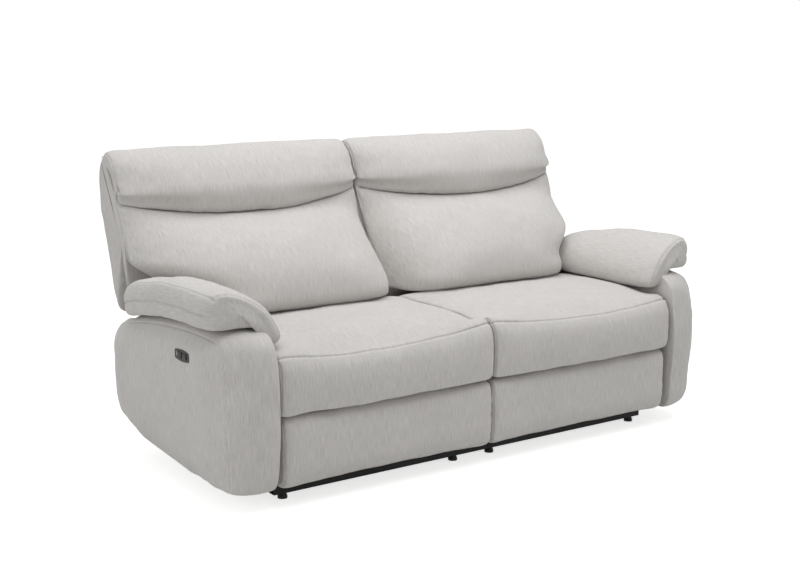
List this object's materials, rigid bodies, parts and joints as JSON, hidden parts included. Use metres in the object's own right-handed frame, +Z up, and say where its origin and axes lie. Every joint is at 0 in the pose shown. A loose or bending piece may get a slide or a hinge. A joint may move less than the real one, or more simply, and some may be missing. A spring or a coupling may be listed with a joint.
{
  "type": "two seat power reclining sofa",
  "caption": "Fabric two seat sofa with powered footrests, gliding seats, reclining backs and padded arms on a steel base.",
  "frame": {"origin": "on the floor, under the middle of the sofa's outline", "axes": "+X to the right as seen from the front, +Y to the rear, +Z up"},
  "size_m": [1.989, 1.0058, 1.0265],
  "materials": {
    "cover": "woven upholstery fabric, light warm grey",
    "timber": "sawn pine and plywood",
    "black_steel": "black powder coat",
    "zinc_steel": "zinc plated sheet steel",
    "black_plastic": "matt black moulded plastic",
    "nylon": "white nylon",
    "spring_steel": "oiled spring wire"
  },
  "bodies": {
    "root": {"arm_frame_left": "timber", "arm_frame_right": "timber", "arm_upholstery_left": "cover", "arm_upholstery_right": "cover", "arm_pad_left": "cover", "arm_pad_right": "cover", "switch_bezel_left": "black_plastic", "switch_bezel_right": "black_plastic", "base_side_rails": "black_steel", "front_cross_rail": "black_steel", "rear_cross_rail": "black_steel", "floor_feet": "black_plastic", "arm_brackets": "black_steel", "rear_panel": "timber", "actuator_left": "black_steel", "actuator_right": "black_steel"},
    "seat_carriage_left": {"carriage_plates_left": "black_steel", "seat_box_left": "timber", "seat_springs_left": "spring_steel", "seat_cushion_left": "cover"},
    "back_left": {"back_frame_left": "timber", "back_brackets_left": "zinc_steel", "back_cushion_left": "cover", "headrest_cushion_left": "cover", "back_shell_left": "cover"},
    "main_link_left": {"main_links_left": "zinc_steel"},
    "rear_link_left": {"rear_links_left": "zinc_steel"},
    "upper_link_left": {"upper_links_left": "zinc_steel", "flipper_panel_left": "cover"},
    "drag_link_left": {"drag_links_left": "zinc_steel"},
    "footrest_left": {"footrest_brackets_left": "zinc_steel", "footrest_board_left": "timber", "footrest_pad_left": "cover"},
    "nut_left": {"drive_nut_left": "nylon"},
    "front_roller_left": {"front_rollers_left": "nylon"},
    "rear_roller_left": {"rear_rollers_left": "nylon"},
    "open_key_left": {"open_button_left": "black_plastic"},
    "close_key_left": {"close_button_left": "black_plastic"},
    "seat_carriage_right": {"carriage_plates_right": "black_steel", "seat_box_right": "timber", "seat_springs_right": "spring_steel", "seat_cushion_right": "cover"},
    "back_right": {"back_frame_right": "timber", "back_brackets_right": "zinc_steel", "back_cushion_right": "cover", "headrest_cushion_right": "cover", "back_shell_right": "cover"},
    "main_link_right": {"main_links_right": "zinc_steel"},
    "rear_link_right": {"rear_links_right": "zinc_steel"},
    "upper_link_right": {"upper_links_right": "zinc_steel", "flipper_panel_right": "cover"},
    "drag_link_right": {"drag_links_right": "zinc_steel"},
    "footrest_right": {"footrest_brackets_right": "zinc_steel", "footrest_board_right": "timber", "footrest_pad_right": "cover"},
    "nut_right": {"drive_nut_right": "nylon"},
    "front_roller_right": {"front_rollers_right": "nylon"},
    "rear_roller_right": {"rear_rollers_right": "nylon"},
    "open_key_right": {"open_button_right": "black_plastic"},
    "close_key_right": {"close_button_right": "black_plastic"}
  },
  "joints": [
    {"name": "seat_glide_left", "type": "slide", "parent": "root", "child": "seat_carriage_left", "axis": [0, -1, 0], "range_m": [0, 0.09]},
    {"name": "back_recline_left", "type": "hinge", "parent": "seat_carriage_left", "child": "back_left", "pos_m": [-0.402, 0.19, 0.3], "axis": [-1, 0, 0], "range_deg": [0, 24]},
    {"name": "front_roller_spin_left", "type": "hinge", "parent": "seat_carriage_left", "child": "front_roller_left", "pos_m": [-0.402, -0.2, 0.0693], "axis": [1, 0, 0], "range_deg": [0, 400]},
    {"name": "rear_roller_spin_left", "type": "hinge", "parent": "seat_carriage_left", "child": "rear_roller_left", "pos_m": [-0.402, 0.2, 0.0693], "axis": [1, 0, 0], "range_deg": [0, 400]},
    {"name": "footrest_fold_left", "type": "hinge", "parent": "seat_carriage_left", "child": "main_link_left", "pos_m": [-0.402, -0.15, 0.345], "axis": [-1, 0, 0], "range_deg": [0, 90]},
    {"name": "rear_link_swing_left", "type": "hinge", "parent": "seat_carriage_left", "child": "rear_link_left", "pos_m": [-0.402, -0.22, 0.345], "axis": [-1, 0, 0], "range_deg": [0, 90]},
    {"name": "upper_link_level_left", "type": "hinge", "parent": "main_link_left", "child": "upper_link_left", "pos_m": [-0.402, -0.005, 0.09385], "axis": [-1, 0, 0], "range_deg": [-90, 0]},
    {"name": "drag_link_level_left", "type": "hinge", "parent": "main_link_left", "child": "drag_link_left", "pos_m": [-0.402, -0.0325, 0.14148], "axis": [-1, 0, 0], "range_deg": [-90, 0]},
    {"name": "footrest_tilt_left", "type": "hinge", "parent": "upper_link_left", "child": "footrest_left", "pos_m": [-0.402, -0.35, 0.195], "axis": [-1, 0, 0], "range_deg": [0, 90]},
    {"name": "drive_nut_travel_left", "type": "slide", "parent": "seat_carriage_left", "child": "nut_left", "axis": [0, -1, 0], "range_m": [0, 0.19799]},
    {"name": "open_button_press_left", "type": "slide", "parent": "root", "child": "open_key_left", "axis": [1, 0, 0], "range_m": [0, 0.0015], "stiffness_N_per_m": 400},
    {"name": "close_button_press_left", "type": "slide", "parent": "root", "child": "close_key_left", "axis": [1, 0, 0], "range_m": [0, 0.0015], "stiffness_N_per_m": 400},
    {"name": "seat_glide_right", "type": "slide", "parent": "root", "child": "seat_carriage_right", "axis": [0, -1, 0], "range_m": [0, 0.09]},
    {"name": "back_recline_right", "type": "hinge", "parent": "seat_carriage_right", "child": "back_right", "pos_m": [0.402, 0.19, 0.3], "axis": [-1, 0, 0], "range_deg": [0, 24]},
    {"name": "front_roller_spin_right", "type": "hinge", "parent": "seat_carriage_right", "child": "front_roller_right", "pos_m": [0.402, -0.2, 0.0693], "axis": [1, 0, 0], "range_deg": [0, 400]},
    {"name": "rear_roller_spin_right", "type": "hinge", "parent": "seat_carriage_right", "child": "rear_roller_right", "pos_m": [0.402, 0.2, 0.0693], "axis": [1, 0, 0], "range_deg": [0, 400]},
    {"name": "footrest_fold_right", "type": "hinge", "parent": "seat_carriage_right", "child": "main_link_right", "pos_m": [0.402, -0.15, 0.345], "axis": [-1, 0, 0], "range_deg": [0, 90]},
    {"name": "rear_link_swing_right", "type": "hinge", "parent": "seat_carriage_right", "child": "rear_link_right", "pos_m": [0.402, -0.22, 0.345], "axis": [-1, 0, 0], "range_deg": [0, 90]},
    {"name": "upper_link_level_right", "type": "hinge", "parent": "main_link_right", "child": "upper_link_right", "pos_m": [0.402, -0.005, 0.09385], "axis": [-1, 0, 0], "range_deg": [-90, 0]},
    {"name": "drag_link_level_right", "type": "hinge", "parent": "main_link_right", "child": "drag_link_right", "pos_m": [0.402, -0.0325, 0.14148], "axis": [-1, 0, 0], "range_deg": [-90, 0]},
    {"name": "footrest_tilt_right", "type": "hinge", "parent": "upper_link_right", "child": "footrest_right", "pos_m": [0.402, -0.35, 0.195], "axis": [-1, 0, 0], "range_deg": [0, 90]},
    {"name": "drive_nut_travel_right", "type": "slide", "parent": "seat_carriage_right", "child": "nut_right", "axis": [0, -1, 0], "range_m": [0, 0.19799]},
    {"name": "open_button_press_right", "type": "slide", "parent": "root", "child": "open_key_right", "axis": [-1, 0, 0], "range_m": [0, 0.0015], "stiffness_N_per_m": 400},
    {"name": "close_button_press_right", "type": "slide", "parent": "root", "child": "close_key_right", "axis": [-1, 0, 0], "range_m": [0, 0.0015], "stiffness_N_per_m": 400}
  ],
  "couplings": [
    {"joint": "back_recline_left", "follows": "seat_glide_left", "rad_per_m": 4.6542},
    {"joint": "front_roller_spin_left", "follows": "seat_glide_left", "rad_per_m": 62.5},
    {"joint": "rear_roller_spin_left", "follows": "seat_glide_left", "rad_per_m": 62.5},
    {"joint": "rear_link_swing_left", "follows": "footrest_fold_left", "ratio": 1},
    {"joint": "upper_link_level_left", "follows": "footrest_fold_left", "ratio": -1},
    {"joint": "drag_link_level_left", "follows": "footrest_fold_left", "ratio": -1},
    {"joint": "footrest_tilt_left", "follows": "footrest_fold_left", "ratio": 1},
    {"joint": "drive_nut_travel_left", "follows": "footrest_fold_left", "m_per_rad": 0.12604},
    {"joint": "back_recline_right", "follows": "seat_glide_right", "rad_per_m": 4.6542},
    {"joint": "front_roller_spin_right", "follows": "seat_glide_right", "rad_per_m": 62.5},
    {"joint": "rear_roller_spin_right", "follows": "seat_glide_right", "rad_per_m": 62.5},
    {"joint": "rear_link_swing_right", "follows": "footrest_fold_right", "ratio": 1},
    {"joint": "upper_link_level_right", "follows": "footrest_fold_right", "ratio": -1},
    {"joint": "drag_link_level_right", "follows": "footrest_fold_right", "ratio": -1},
    {"joint": "footrest_tilt_right", "follows": "footrest_fold_right", "ratio": 1},
    {"joint": "drive_nut_travel_right", "follows": "footrest_fold_right", "m_per_rad": 0.12604}
  ]
}
